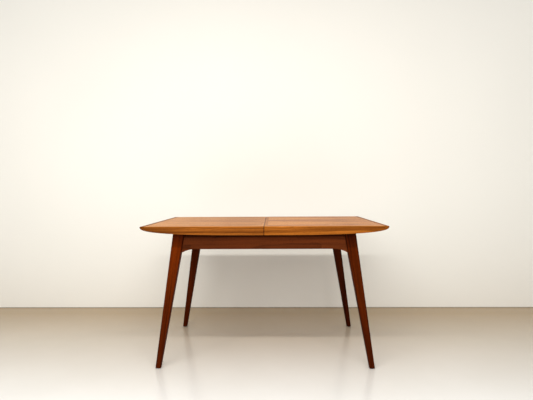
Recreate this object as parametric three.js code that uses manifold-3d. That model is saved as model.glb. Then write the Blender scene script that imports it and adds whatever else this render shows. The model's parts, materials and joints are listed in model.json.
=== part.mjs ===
// Centre-opening extending dining table, in millimetres, +Z up.
// The origin is on the floor under the middle of the top. +X runs along the table, +Y towards its rear.
//
// The top is two halves that meet at x = 0. Each half carries two tongued runners, which slide in two
// grooved guides fixed in the frame, so the halves pull apart along X. A loose leaf is kept in the frame
// and pulls out through a slot in the right end rail. Two sliding bolts lock the closed halves together.
import * as THREE from "three";
import Module from "manifold-3d";
import { mergeVertices } from "three/addons/utils/BufferGeometryUtils.js";

const wasm = await Module();
wasm.setup();

// ---- Driving dimensions ----
const LENGTH = 1300; // closed top, nose to nose
const DEPTH = 800;
const HEIGHT = 765;
const PANEL_THICKNESS = 22;
const EDGE_DEPTH = 47; // height of the front and rear edge boards at the middle of the table
const EDGE_THICKNESS = 24;
const NOSE_POWER = 3; // power of the curve that sweeps the underside up to the nose
const JOINT_EDGE_WIDTH = 18;
const JOINT_GAP = 1; // between the two closed halves
const HALF_TRAVEL = 235; // how far each half slides
const LEAF_WIDTH = 450;

const GAP = 0.3; // between pieces that touch
const RUNNING_GAP = 0.5; // between pieces that slide on each other

const FRAME_TOP = HEIGHT - PANEL_THICKNESS - 0.4;
const RAIL_BOTTOM = HEIGHT - 128;
const RAIL_THICKNESS = 22;
const FLARE_LENGTH = 75; // the rails' lower edge sweeps down to the legs over this length
const FLARE_DROP = 21;
const APRON_FACE = 332; // |y| of the outer face of the front and rear aprons
const END_RAIL_FACE = 479; // |x| of the outer face of the end rails

const FOOT = { x: 572.4, y: 345.9, halfX: 14, halfY: 14 }; // leg section at the floor
const LEG_TOP = { x: 455.8, y: 316.3, halfX: 31.1, halfY: 22.5 }; // leg section at the frame's top
const LEG_CORNER_RADIUS = 5;
const GLIDE_THICKNESS = 3;
const GLIDE_RADIUS = 10;

const RUNNER_WIDTH = 20;
const RUNNER_HEIGHT = 26;
const RUNNER_OUTER_END = 448; // |x| of a runner's end under its own half, closed
const RUNNER_REACH = 250; // how far a runner reaches past the middle, closed
const GUIDE_INNER = 247.5; // |y| of the guides' inner face
const GUIDE_WIDTH = 20;
const GUIDE_BOTTOM = HEIGHT - 54;
const TONGUE_HEIGHT = 7.2;
const TONGUE_DEPTH = 6.5;
const TONGUE_CLEARANCE = 0.4;
const TONGUE_CENTRE = HEIGHT - 36;

const LEAF_END = 466; // x of the stored leaf's right end
const LEAF_BOTTOM = HEIGHT - 95.5;
const SLOT_CLEARANCE = 12; // each side of the leaf, which leaves room for its pegs
const BEARER_THICKNESS = 22;
const BEARER_BOTTOM = HEIGHT - 124;
const BEARER_CENTRES = { middle: -150, right: 190 };

const PEG_RADIUS = 5;
const PEG_SPACING = 250; // |y| of each peg in the joint
const BOLT_RADIUS = 4;
const BOLT_HEIGHT = HEIGHT - 88;
const BLOCK_HEIGHTS = [HEIGHT - 116, HEIGHT - 60]; // lower and upper face of the corner blocks
const CATCH_SPACING = 354; // |y| of each sliding bolt, between the apron and the edge board
const CATCH_RADIUS = 4;
const CATCH_TRAVEL = 24;

// ---- Worked out from them ----
const PANEL_BOTTOM = HEIGHT - PANEL_THICKNESS;
const HALF_LENGTH = LENGTH / 2;
const HALF_DEPTH = DEPTH / 2;
const NOSING_START = HALF_LENGTH - EDGE_THICKNESS;
const APRON_INNER = APRON_FACE - RAIL_THICKNESS;
const END_RAIL_INNER = END_RAIL_FACE - RAIL_THICKNESS;
const GUIDE_OUTER = GUIDE_INNER + GUIDE_WIDTH;
const RUNNER_BOTTOM = PANEL_BOTTOM - RUNNER_HEIGHT;
const LEAF_TOP = LEAF_BOTTOM + PANEL_THICKNESS;
const LEAF_START = LEAF_END - DEPTH;
const SLOT_HALF = LEAF_WIDTH / 2 + SLOT_CLEARANCE;
const LEFT_BEARER = { start: LEAF_START - 22, end: LEAF_START + 22 };

const SIDES = { left: -1, right: 1 };
const ENDS = { front: -1, rear: 1 };

// ---- Materials ----
const wood = (color, roughness) => new THREE.MeshStandardMaterial({ color, roughness, metalness: 0 });
const topTeak = wood(0xb4763c, 0.42);
const apronTeak = wood(0x5b3322, 0.5);
const legTeak = wood(0x622513, 0.45);
const beech = wood(0xc59f70, 0.6);
const steel = new THREE.MeshStandardMaterial({ color: 0x9a978f, roughness: 0.35, metalness: 1 });
const nylon = new THREE.MeshStandardMaterial({ color: 0x2b1f19, roughness: 0.6, metalness: 0 });

const table = new THREE.Group();

function add(name, geometry, material) {
  const mesh = new THREE.Mesh(geometry, material);
  mesh.name = name;
  table.add(mesh);
}

// ---- Shapes ----
function board([x0, x1], [y0, y1], [z0, z1]) {
  const box = new THREE.BoxGeometry(x1 - x0, y1 - y0, z1 - z0);
  return box.translate((x0 + x1) / 2, (y0 + y1) / 2, (z0 + z1) / 2);
}

function extruded(shape, depth) {
  return new THREE.ExtrudeGeometry(shape, { depth, bevelEnabled: false, curveSegments: 12 });
}

// An outline in X and Z, made thick along Y from y0 to y1.
function thickAlongY(shape, y0, y1) {
  return extruded(shape, y1 - y0).rotateX(Math.PI / 2).translate(0, y1, 0);
}

// An outline in Y and Z, made thick along X from x0 to x1.
function thickAlongX(shape, x0, x1) {
  const turn = new THREE.Matrix4().makeBasis(
    new THREE.Vector3(0, 1, 0),
    new THREE.Vector3(0, 0, 1),
    new THREE.Vector3(1, 0, 0),
  );
  return extruded(shape, x1 - x0).applyMatrix4(turn).translate(x0, 0, 0);
}

// An outline in X and Y, made thick along Z from z0 to z1.
function thickAlongZ(shape, z0, z1) {
  return extruded(shape, z1 - z0).translate(0, 0, z0);
}

function outline(points) {
  return new THREE.Shape(points.map(([a, b]) => new THREE.Vector2(a, b)));
}

// A cylinder of the given radius from one point to another.
function rod(from, to, radius, sides = 20) {
  const start = new THREE.Vector3(...from);
  const along = new THREE.Vector3(...to).sub(start);
  const up = new THREE.Vector3(0, 1, 0);
  const turn = new THREE.Quaternion().setFromUnitVectors(up, along.clone().normalize());
  const geometry = new THREE.CylinderGeometry(radius, radius, along.length(), sides);
  const middle = start.addScaledVector(along, 0.5);
  return geometry.applyQuaternion(turn).translate(middle.x, middle.y, middle.z);
}

// A closed geometry as a solid that can be cut and joined.
function solid(geometry) {
  const bare = geometry.index ? geometry.toNonIndexed() : geometry.clone();
  bare.deleteAttribute("normal");
  bare.deleteAttribute("uv");
  const merged = mergeVertices(bare, 1e-4);
  const vertProperties = merged.attributes.position.array;
  const triVerts = new Uint32Array(merged.index.array);
  return new wasm.Manifold(new wasm.Mesh({ numProp: 3, vertProperties, triVerts }));
}

function geometryOf(made) {
  const mesh = made.getMesh();
  const geometry = new THREE.BufferGeometry();
  geometry.setAttribute("position", new THREE.BufferAttribute(mesh.vertProperties, 3));
  geometry.setIndex(new THREE.BufferAttribute(mesh.triVerts, 1));
  geometry.computeVertexNormals();
  return geometry;
}

function cut(geometry, ...tools) {
  return geometryOf(tools.reduce((left, tool) => left.subtract(solid(tool)), solid(geometry)));
}

function join(first, ...others) {
  return geometryOf(others.reduce((made, other) => made.add(solid(other)), solid(first)));
}

// ---- The two halves of the top ----

// Height of the top's underside at x: nearly flat in the middle and sweeping up to the nose.
function underside(x) {
  return HEIGHT - EDGE_DEPTH * Math.cbrt(1 - Math.pow(Math.abs(x) / HALF_LENGTH, NOSE_POWER));
}

// The edge board's outline in X and Z for the right half; the left half mirrors it.
function edgeOutline(side) {
  const steps = 18;
  const start = JOINT_GAP / 2;
  const end = NOSING_START - GAP;
  const lower = [];
  for (let i = 0; i <= steps; i++) {
    const x = start + (end - start) * Math.sin((i / steps) * (Math.PI / 2));
    lower.push([side * x, underside(x)]);
  }
  return outline([...lower, [side * end, HEIGHT], [side * start, HEIGHT]]);
}

// The nosing across each end of the top: flat on its inner face, with a rounded upper arris.
function nosingOutline(side) {
  const radius = 5;
  const steps = 12;
  const points = [[side * NOSING_START, HEIGHT]];
  for (let i = 0; i <= 5; i++) {
    const angle = (Math.PI / 2) * (1 - i / 5);
    points.push([
      side * (HALF_LENGTH - radius + radius * Math.cos(angle)),
      HEIGHT - radius + radius * Math.sin(angle),
    ]);
  }
  const highest = radius + 1;
  const lowest = HEIGHT - underside(NOSING_START);
  for (let i = 0; i <= steps; i++) {
    const drop = highest + (lowest - highest) * (i / steps);
    const x = HALF_LENGTH * Math.cbrt(1 - Math.pow(drop / EDGE_DEPTH, NOSE_POWER));
    points.push([side * Math.min(x, HALF_LENGTH), HEIGHT - drop]);
  }
  points[points.length - 1][0] = side * NOSING_START;
  return outline(points);
}

const ordered = (a, b) => [Math.min(a, b), Math.max(a, b)];

// A runner under a half: a batten with one tongue, on the side that faces its guide.
function runner(side, y0, y1, tongueTowards) {
  const low = TONGUE_CENTRE - TONGUE_HEIGHT / 2;
  const high = TONGUE_CENTRE + TONGUE_HEIGHT / 2;
  const top = PANEL_BOTTOM - GAP;
  const face = tongueTowards > 0 ? y1 : y0;
  const back = tongueTowards > 0 ? y0 : y1;
  const tip = face + tongueTowards * TONGUE_DEPTH;
  const shape = outline([
    [back, RUNNER_BOTTOM],
    [face, RUNNER_BOTTOM],
    [face, low],
    [tip, low],
    [tip, high],
    [face, high],
    [face, top],
    [back, top],
  ]);
  return thickAlongX(shape, ...ordered(side * RUNNER_OUTER_END, -side * RUNNER_REACH));
}

function pegHole(x0, x1, y) {
  return rod([x0, y, HEIGHT - PANEL_THICKNESS / 2], [x1, y, HEIGHT - PANEL_THICKNESS / 2], PEG_RADIUS + GAP);
}

function addHalf(name, side) {
  const start = JOINT_GAP / 2;
  const edgeInner = HALF_DEPTH - EDGE_THICKNESS;
  const jointEnd = start + JOINT_EDGE_WIDTH;
  const slab = [PANEL_BOTTOM, HEIGHT];
  const withinEdges = [-(edgeInner - GAP), edgeInner - GAP];

  const panelSpan = ordered(side * (jointEnd + GAP), side * (NOSING_START - GAP));
  add(`${name}_top_panel`, board(panelSpan, withinEdges, slab), topTeak);
  add(`${name}_front_edge`, thickAlongY(edgeOutline(side), -HALF_DEPTH, -edgeInner), topTeak);
  add(`${name}_rear_edge`, thickAlongY(edgeOutline(side), edgeInner, HALF_DEPTH), topTeak);
  add(`${name}_end_nosing`, thickAlongY(nosingOutline(side), -HALF_DEPTH, HALF_DEPTH), topTeak);

  const holes = [-PEG_SPACING, PEG_SPACING].map((y) => pegHole(0, side * (start + 12.5), y));
  const jointEdge = board(ordered(side * start, side * jointEnd), withinEdges, slab);
  add(`${name}_joint_edge`, cut(jointEdge, ...holes), topTeak);

  // Turning the table half a turn swaps the halves, so each has one runner outside a guide and one inside.
  const outside = [GUIDE_OUTER + RUNNING_GAP, GUIDE_OUTER + RUNNING_GAP + RUNNER_WIDTH];
  const inside = [GUIDE_INNER - RUNNING_GAP - RUNNER_WIDTH, GUIDE_INNER - RUNNING_GAP];
  const [outerEnd, innerEnd] = side < 0 ? ["front", "rear"] : ["rear", "front"];
  const outerSign = side < 0 ? -1 : 1;
  const outerY = ordered(outerSign * outside[0], outerSign * outside[1]);
  const innerY = ordered(-outerSign * inside[0], -outerSign * inside[1]);
  add(`${name}_${outerEnd}_runner`, runner(side, ...outerY, -outerSign), beech);
  add(`${name}_${innerEnd}_runner`, runner(side, ...innerY, -outerSign), beech);

  // The stop block meets the inside of the end rail when the half is fully out.
  const stopFace = END_RAIL_INNER - HALF_TRAVEL - RUNNING_GAP;
  const stopX = ordered(side * stopFace, side * (stopFace - 40));
  add(`${name}_stop_block`, board(stopX, [-35, 35], [PANEL_BOTTOM - 22, PANEL_BOTTOM - GAP]), beech);
}

for (const [name, side] of Object.entries(SIDES)) addHalf(name, side);

// A round peg with chamfered ends, lying from one point to another.
function peg(from, to) {
  const length = new THREE.Vector3(...to).distanceTo(new THREE.Vector3(...from));
  const chamfer = 1.2;
  const profile = [
    [0, 0],
    [PEG_RADIUS - chamfer, 0],
    [PEG_RADIUS, chamfer],
    [PEG_RADIUS, length - chamfer],
    [PEG_RADIUS - chamfer, length],
    [0, length],
  ].map(([r, y]) => new THREE.Vector2(r, y));
  const along = new THREE.Vector3(...to).sub(new THREE.Vector3(...from)).normalize();
  const turn = new THREE.Quaternion().setFromUnitVectors(new THREE.Vector3(0, 1, 0), along);
  return new THREE.LatheGeometry(profile, 20).applyQuaternion(turn).translate(...from);
}

for (const [name, end] of Object.entries(ENDS)) {
  const y = end * PEG_SPACING;
  const z = HEIGHT - PANEL_THICKNESS / 2;
  add(`${name}_joint_peg`, peg([-12, y, z], [10, y, z]), beech);
}

// ---- Sliding bolts under the joint, drawn back at rest ----
const CATCH_HEIGHT = PANEL_BOTTOM - 9.5;
const CATCH_TIP = -3; // x of the drawn bolt's tip
const CATCH_TAIL = -68;
const BARREL = [-34, -8];
const KEEPER = [7, 25];

// A plate screwed up to the top with a round barrel below it, bored through for the bolt.
function barrel(y, span) {
  const radius = 7.5;
  const top = PANEL_BOTTOM - GAP;
  const plate = board(span, [y - 14, y + 14], [top - 2.5, top]);
  const web = board(span, [y - radius, y + radius], [CATCH_HEIGHT, top - 1]);
  const round = rod([span[0], y, CATCH_HEIGHT], [span[1], y, CATCH_HEIGHT], radius, 28);
  const bore = rod([span[0] - 1, y, CATCH_HEIGHT], [span[1] + 1, y, CATCH_HEIGHT], CATCH_RADIUS + 0.5, 24);
  return cut(join(plate, web, round), bore);
}

// The bolt's round bar has a chamfered tip, and a knob that hangs from its tail.
function slidingBolt(y) {
  const length = CATCH_TIP - CATCH_TAIL;
  const profile = [
    [0, 0],
    [CATCH_RADIUS, 0],
    [CATCH_RADIUS, length - 2],
    [CATCH_RADIUS - 1.6, length],
    [0, length],
  ].map(([r, along]) => new THREE.Vector2(r, along));
  const bar = new THREE.LatheGeometry(profile, 24);
  bar.rotateZ(-Math.PI / 2).translate(CATCH_TAIL, y, CATCH_HEIGHT);
  const knobX = CATCH_TAIL + 4;
  const stem = rod([knobX, y, CATCH_HEIGHT], [knobX, y, CATCH_HEIGHT - 8], 2.6, 16);
  const ball = new THREE.SphereGeometry(4.2, 20, 12).translate(knobX, y, CATCH_HEIGHT - 10);
  return join(bar, stem, ball);
}

for (const [name, end] of Object.entries(ENDS)) {
  const y = end * CATCH_SPACING;
  add(`${name}_sliding_bolt`, slidingBolt(y), steel);
  add(`${name}_bolt_barrel`, barrel(y, BARREL), steel);
  add(`${name}_bolt_keeper`, barrel(y, KEEPER), steel);
}

// ---- Legs and their glides ----
const between = (low, high, share) => low + (high - low) * share;

// The leg's centre and half sizes at height z, on the side where x and y are positive.
function legAt(z) {
  const share = z / FRAME_TOP;
  return {
    x: between(FOOT.x, LEG_TOP.x, share),
    y: between(FOOT.y, LEG_TOP.y, share),
    halfX: between(FOOT.halfX, LEG_TOP.halfX, share),
    halfY: between(FOOT.halfY, LEG_TOP.halfY, share),
  };
}

function roundedRectangle(halfX, halfY, radius) {
  const shape = new THREE.Shape();
  shape.absarc(halfX - radius, halfY - radius, radius, 0, Math.PI / 2, false);
  shape.absarc(-halfX + radius, halfY - radius, radius, Math.PI / 2, Math.PI, false);
  shape.absarc(-halfX + radius, -halfY + radius, radius, Math.PI, 1.5 * Math.PI, false);
  shape.absarc(halfX - radius, -halfY + radius, radius, 1.5 * Math.PI, 2 * Math.PI, false);
  shape.closePath();
  return shape;
}

// A straight post, then each vertex is moved in for the taper and out for the splay.
function leg(side, end) {
  const bottom = GLIDE_THICKNESS + GAP;
  const shape = roundedRectangle(LEG_TOP.halfX, LEG_TOP.halfY, LEG_CORNER_RADIUS);
  const options = { depth: FRAME_TOP - bottom, bevelEnabled: false, curveSegments: 4 };
  const geometry = new THREE.ExtrudeGeometry(shape, options).translate(0, 0, bottom);
  const position = geometry.getAttribute("position");
  for (let i = 0; i < position.count; i++) {
    const section = legAt(position.getZ(i));
    position.setX(i, side * section.x + (position.getX(i) * section.halfX) / LEG_TOP.halfX);
    position.setY(i, end * section.y + (position.getY(i) * section.halfY) / LEG_TOP.halfY);
  }
  return geometry;
}

// The leg's inner corner at the bolt's height, and points at a distance from it along the diagonal.
const boltSection = legAt(BOLT_HEIGHT);
const CORNER = { x: boltSection.x - boltSection.halfX, y: boltSection.y - boltSection.halfY };
const DIAGONAL = Math.SQRT1_2;

function alongBolt(side, end, distance) {
  return [side * (CORNER.x + distance * DIAGONAL), end * (CORNER.y + distance * DIAGONAL), BOLT_HEIGHT];
}

const BLOCK_CLEARANCE = 4; // from the leg's corner to the block, along the diagonal
const BLOCK_THICKNESS = 20;
const NUT_THICKNESS = 8;
const BOLT_IN_LEG = 32;

// A brace across the corner of the frame, from the apron to the end rail.
function cornerBlock(side, end) {
  const outerSum = CORNER.x + CORNER.y - BLOCK_CLEARANCE / DIAGONAL;
  const innerSum = outerSum - BLOCK_THICKNESS / DIAGONAL;
  const railX = END_RAIL_INNER - GAP;
  const apronY = APRON_INNER - GAP;
  const corners = [
    [outerSum - apronY, apronY],
    [innerSum - apronY, apronY],
    [railX, innerSum - railX],
    [railX, outerSum - railX],
  ].map(([x, y]) => [side * x, end * y]);
  const block = thickAlongZ(outline(corners), ...BLOCK_HEIGHTS);
  const hole = rod(alongBolt(side, end, -60), alongBolt(side, end, 0), BOLT_RADIUS + GAP);
  return cut(block, hole);
}

// A hexagonal nut with a washer face, tight against the corner block.
function flangeNut(side, end) {
  const face = -(BLOCK_CLEARANCE + BLOCK_THICKNESS + GAP);
  const washer = rod(alongBolt(side, end, face), alongBolt(side, end, face - 1.6), 9.5);
  const hexagon = rod(alongBolt(side, end, face - 1), alongBolt(side, end, face - NUT_THICKNESS), 7.5, 6);
  const bore = rod(alongBolt(side, end, -60), alongBolt(side, end, 0), BOLT_RADIUS + GAP);
  return cut(join(washer, hexagon), bore);
}

for (const [endName, end] of Object.entries(ENDS)) {
  for (const [sideName, side] of Object.entries(SIDES)) {
    const name = `${endName}_${sideName}`;
    const boltEnd = -(BLOCK_CLEARANCE + BLOCK_THICKNESS + NUT_THICKNESS + 5);
    const hole = rod(alongBolt(side, end, -40), alongBolt(side, end, BOLT_IN_LEG + GAP), BOLT_RADIUS + GAP);
    add(`${name}_leg`, cut(leg(side, end), hole), legTeak);
    add(`${name}_corner_block`, cornerBlock(side, end), beech);
    const stud = rod(alongBolt(side, end, boltEnd), alongBolt(side, end, BOLT_IN_LEG), BOLT_RADIUS);
    add(`${name}_leg_bolt`, stud, steel);
    add(`${name}_leg_nut`, flangeNut(side, end), steel);
    const foot = legAt(0);
    const [x, y] = [side * foot.x, end * foot.y];
    add(`${name}_glide`, rod([x, y, 0], [x, y, GLIDE_THICKNESS], GLIDE_RADIUS, 24), nylon);
  }
}

// ---- Aprons and end rails ----

// Distance from the middle to the legs' inner faces at height z, along X for the aprons and Y for the rails.
const apronEnd = (z) => legAt(z).x - legAt(z).halfX - GAP;
const endRailEnd = (z) => legAt(z).y - legAt(z).halfY - GAP;

// A rail's outline: the lower edge is straight and sweeps down to the legs in an arc at each end.
// Notches are [from, to] stretches cut into the upper edge, from left to right.
function railOutline(endAt, notches = [], notchFloor = 0) {
  const tip = RAIL_BOTTOM - FLARE_DROP;
  const reach = endAt(tip);
  const start = reach - FLARE_LENGTH;
  const radius = (FLARE_LENGTH ** 2 + FLARE_DROP ** 2) / (2 * FLARE_DROP);
  const sweep = Math.asin(FLARE_LENGTH / radius);
  const shape = new THREE.Shape();
  shape.moveTo(-reach, tip);
  const centreZ = RAIL_BOTTOM - radius;
  shape.absarc(-start, centreZ, radius, Math.PI / 2 + sweep, Math.PI / 2, true);
  shape.absarc(start, centreZ, radius, Math.PI / 2, Math.PI / 2 - sweep, true);
  shape.lineTo(endAt(FRAME_TOP), FRAME_TOP);
  for (const [from, to] of [...notches].reverse()) {
    shape.lineTo(to, FRAME_TOP);
    shape.lineTo(to, notchFloor);
    shape.lineTo(from, notchFloor);
    shape.lineTo(from, FRAME_TOP);
  }
  shape.lineTo(-endAt(FRAME_TOP), FRAME_TOP);
  shape.closePath();
  return shape;
}

add("front_apron", thickAlongY(railOutline(apronEnd), -APRON_FACE, -APRON_INNER), apronTeak);
add("rear_apron", thickAlongY(railOutline(apronEnd), APRON_INNER, APRON_FACE), apronTeak);

// The slot that the leaf pulls out through, with a dip for the fingers in its lower edge.
function leafSlot() {
  const low = LEAF_BOTTOM - 1.3;
  const high = LEAF_TOP + 1.7;
  const dipHalf = 55;
  const dipDepth = 16;
  const radius = (dipHalf ** 2 + dipDepth ** 2) / (2 * dipDepth);
  const sweep = Math.asin(dipHalf / radius);
  const slot = new THREE.Path();
  slot.moveTo(-SLOT_HALF, high);
  slot.lineTo(-SLOT_HALF, low);
  slot.absarc(0, low - dipDepth + radius, radius, 1.5 * Math.PI - sweep, 1.5 * Math.PI + sweep, false);
  slot.lineTo(SLOT_HALF, low);
  slot.lineTo(SLOT_HALF, high);
  slot.closePath();
  return slot;
}

// Each end rail is notched where the runners of its own half pass through it.
function endRail(side) {
  const room = 1.5;
  const outside = [GUIDE_OUTER + RUNNING_GAP - room, GUIDE_OUTER + RUNNING_GAP + RUNNER_WIDTH + room];
  const inside = [GUIDE_INNER - RUNNING_GAP - RUNNER_WIDTH - room, GUIDE_INNER - RUNNING_GAP + room];
  // The tongues stand out towards the guide, so the notches take them in as well.
  outside[0] -= TONGUE_DEPTH;
  inside[1] += TONGUE_DEPTH;
  const notches = [
    ordered(side * outside[0], side * outside[1]),
    ordered(-side * inside[0], -side * inside[1]),
  ].sort((a, b) => a[0] - b[0]);
  const shape = railOutline(endRailEnd, notches, RUNNER_BOTTOM - 1);
  if (side > 0) shape.holes.push(leafSlot());
  return thickAlongX(shape, ...ordered(side * END_RAIL_INNER, side * END_RAIL_FACE));
}

add("left_end_rail", endRail(-1), apronTeak);
add("right_end_rail", endRail(1), apronTeak);

// ---- Guides for the runners ----

// A batten with a groove along each side.
function guide(end) {
  const low = TONGUE_CENTRE - TONGUE_HEIGHT / 2 - TONGUE_CLEARANCE;
  const high = TONGUE_CENTRE + TONGUE_HEIGHT / 2 + TONGUE_CLEARANCE;
  const depth = TONGUE_DEPTH - RUNNING_GAP + TONGUE_CLEARANCE;
  const top = PANEL_BOTTOM - 0.8;
  const shape = outline(
    [
      [GUIDE_INNER, GUIDE_BOTTOM],
      [GUIDE_OUTER, GUIDE_BOTTOM],
      [GUIDE_OUTER, low],
      [GUIDE_OUTER - depth, low],
      [GUIDE_OUTER - depth, high],
      [GUIDE_OUTER, high],
      [GUIDE_OUTER, top],
      [GUIDE_INNER, top],
      [GUIDE_INNER, high],
      [GUIDE_INNER + depth, high],
      [GUIDE_INNER + depth, low],
      [GUIDE_INNER, low],
    ].map(([y, z]) => [end * y, z]),
  );
  return thickAlongX(shape, -(END_RAIL_INNER - GAP), END_RAIL_INNER - GAP);
}

for (const [name, end] of Object.entries(ENDS)) add(`${name}_guide`, guide(end), beech);

// ---- Bearers that carry the stored leaf and the guides ----
function notchedBearer(centre) {
  const end = APRON_INNER - GAP;
  const top = GUIDE_BOTTOM - GAP;
  const floor = LEAF_BOTTOM - GAP;
  const notch = SLOT_HALF + 1;
  const shape = outline([
    [-end, BEARER_BOTTOM],
    [end, BEARER_BOTTOM],
    [end, top],
    [notch, top],
    [notch, floor],
    [-notch, floor],
    [-notch, top],
    [-end, top],
  ]);
  return thickAlongX(shape, centre - BEARER_THICKNESS / 2, centre + BEARER_THICKNESS / 2);
}

for (const [name, centre] of Object.entries(BEARER_CENTRES)) {
  add(`${name}_leaf_bearer`, notchedBearer(centre), beech);
}

const bearerSpan = [-(APRON_INNER - GAP), APRON_INNER - GAP];
add(
  "left_leaf_bearer",
  board([LEFT_BEARER.start, LEFT_BEARER.end], bearerSpan, [BEARER_BOTTOM, LEAF_BOTTOM - GAP]),
  beech,
);
// The leaf stops against this strip when it is pushed home.
add(
  "leaf_stop_strip",
  board([LEFT_BEARER.start, LEAF_START - RUNNING_GAP], [-180, 180], [LEAF_BOTTOM, LEAF_TOP - 2]),
  beech,
);

// ---- The loose leaf, stored lengthwise ----
const leafSlab = [LEAF_BOTTOM, LEAF_TOP];
const leafY = [-LEAF_WIDTH / 2, LEAF_WIDTH / 2];
const leafMiddle = (LEAF_START + LEAF_END) / 2;
const leafPegX = [leafMiddle - PEG_SPACING, leafMiddle + PEG_SPACING];
const leafPegZ = LEAF_BOTTOM + PANEL_THICKNESS / 2;

const leafSpan = [LEAF_START + EDGE_THICKNESS + GAP, LEAF_END - EDGE_THICKNESS - GAP];
const leafBoard = board(leafSpan, leafY, leafSlab);
const leafHoles = leafPegX.flatMap((x) =>
  [-1, 1].map((end) =>
    rod([x, end * (leafY[1] + 1), leafPegZ], [x, end * (leafY[1] - 12.5), leafPegZ], PEG_RADIUS + GAP),
  ),
);
add("leaf_panel", cut(leafBoard, ...leafHoles), topTeak);
add("leaf_inner_edge", board([LEAF_START, LEAF_START + EDGE_THICKNESS], leafY, leafSlab), topTeak);
add("leaf_outer_edge", board([LEAF_END - EDGE_THICKNESS, LEAF_END], leafY, leafSlab), topTeak);
["inner", "outer"].forEach((name, i) => {
  const x = leafPegX[i];
  const dowel = peg([x, -(LEAF_WIDTH / 2 - 12), leafPegZ], [x, -(LEAF_WIDTH / 2 + 8), leafPegZ]);
  add(`leaf_${name}_peg`, dowel, beech);
});

export default table;
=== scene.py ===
"""Looks for a teak dining table whose top parts in the middle and slides open on runners."""

import json
import math

import bmesh
import bpy
from mathutils import Matrix, Vector


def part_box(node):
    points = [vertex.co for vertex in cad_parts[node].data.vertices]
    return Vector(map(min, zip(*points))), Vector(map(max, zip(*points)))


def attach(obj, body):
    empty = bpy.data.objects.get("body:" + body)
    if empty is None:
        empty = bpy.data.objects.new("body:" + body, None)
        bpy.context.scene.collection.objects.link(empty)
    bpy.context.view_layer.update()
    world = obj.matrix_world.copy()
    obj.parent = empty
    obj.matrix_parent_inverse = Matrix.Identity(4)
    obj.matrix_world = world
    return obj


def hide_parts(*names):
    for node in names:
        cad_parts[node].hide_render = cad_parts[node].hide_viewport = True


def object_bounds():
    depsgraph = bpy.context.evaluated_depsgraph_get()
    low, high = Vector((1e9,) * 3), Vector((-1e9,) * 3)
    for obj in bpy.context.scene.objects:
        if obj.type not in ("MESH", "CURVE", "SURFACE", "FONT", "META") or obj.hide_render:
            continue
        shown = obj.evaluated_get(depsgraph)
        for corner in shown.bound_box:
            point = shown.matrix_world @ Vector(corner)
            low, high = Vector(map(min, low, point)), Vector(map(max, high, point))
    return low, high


bl_info = {
    "name": "Extending teak table",
    "version": (1, 0, 0),
    "blender": (4, 5, 0),
    "location": "3D View > Sidebar > Table",
    "description": "Finishes the boards, fittings and setting of an extending teak table",
    "category": "Object",
}

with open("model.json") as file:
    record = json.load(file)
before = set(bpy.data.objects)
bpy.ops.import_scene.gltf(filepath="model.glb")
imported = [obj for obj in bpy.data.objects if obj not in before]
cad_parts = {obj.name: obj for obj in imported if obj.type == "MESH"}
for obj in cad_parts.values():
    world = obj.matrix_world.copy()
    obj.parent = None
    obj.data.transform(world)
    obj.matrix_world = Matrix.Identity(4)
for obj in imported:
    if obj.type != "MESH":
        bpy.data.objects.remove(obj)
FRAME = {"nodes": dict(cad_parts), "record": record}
CAD_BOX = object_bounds()

MM = 0.001
SHARP = math.radians(30)  # an edge that turns further than this is an arris
FLAT = math.radians(0.3)  # faces closer than this lie in one plane
SIDES = {"left": -1, "right": 1}  # the halves of the table, and their directions along X
ENDS = {"front": -1, "rear": 1}  # its two long sides, and their directions along Y
UP, DOWN = (0, 0, 1), (0, 0, -1)

# The top.
PANELS = {  # where the pith of each half's panel lies, and how light the panel is
    "left": ((0.3, -0.08, -0.93), 0.95),
    "right": ((-0.2, -0.1, -0.95), 1.06),
}
EDGE_CUTS = {  # how far the pith of a half's deep edges leans, its y, and how strong the figure is
    "left": (0.03, 0.35, 0.75),
    "right": (0.008, 0.5, 0.4),
}
EDGE_PITH = {"front": -0.80, "rear": -0.76}  # z of a deep edge's pith
EDGE_STRIPE = {  # height of the broad stripe at the joint, and how much it rises outwards over a metre
    "left": (0.736, 0.004),
    "right": (0.735, 0.028),
}
STRIPE_SPACING = 42 * MM  # between the broad stripes along a deep edge
STRIPE_SWAY = 2.5 * MM  # how far the stripes wander up and down
SECOND_STRIPE = 15 * MM  # how far a narrow stripe runs above a broad one
SECOND_STRIPE_FADE = (1 * MM, 3 * MM)  # distances from its middle over which it fades away
TIP_TURNS = (0.38, 0.62)  # distances from the middle between which a deep edge turns darker
BLEACH_TURNS = (1.8 * MM, 0.2 * MM)  # depths below the upper face between which an edge turns pale
NOSING_RIM = (9 * MM, 3 * MM)  # distances from the end between which a nosing turns darker
JOINT_GRIME = (1.6 * MM, 2.8 * MM)  # distances from the joint over which its grime fades away
PEG_ARRIS = 0.2 * MM

# The legs and aprons.
LEG_TONES_AND_SHADE = {  # how dark each leg is: partly each leg's own timber, and painted shade that keeps the rear legs darkest
    "front_left": 0.95,
    "front_right": 0.84,
    "rear_left": 0.7,
    "rear_right": 0.6,
}
LEG_LEAN = 0.72  # the lean's share of a leg's width in plan, the rest being the leg's own
FOOT_SHADE_TURNS = (0.12, 0.42)  # heights over which the painted shade at a leg's foot fades out, the light falling off towards the floor
UNDER_TOP = 0.709  # height above which the aprons and legs are hidden behind the deep edge
HEAD_SHADE = 60 * MM  # how far below that height an apron starts to turn darker, as painted shade under the deep edge
APRON_SHADE = 26 * MM  # the same for an apron
APRON_SHADOW_LINE = (9 * MM, 2 * MM)  # depths below that height between which a painted shadow line comes in, under the deep edge
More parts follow.
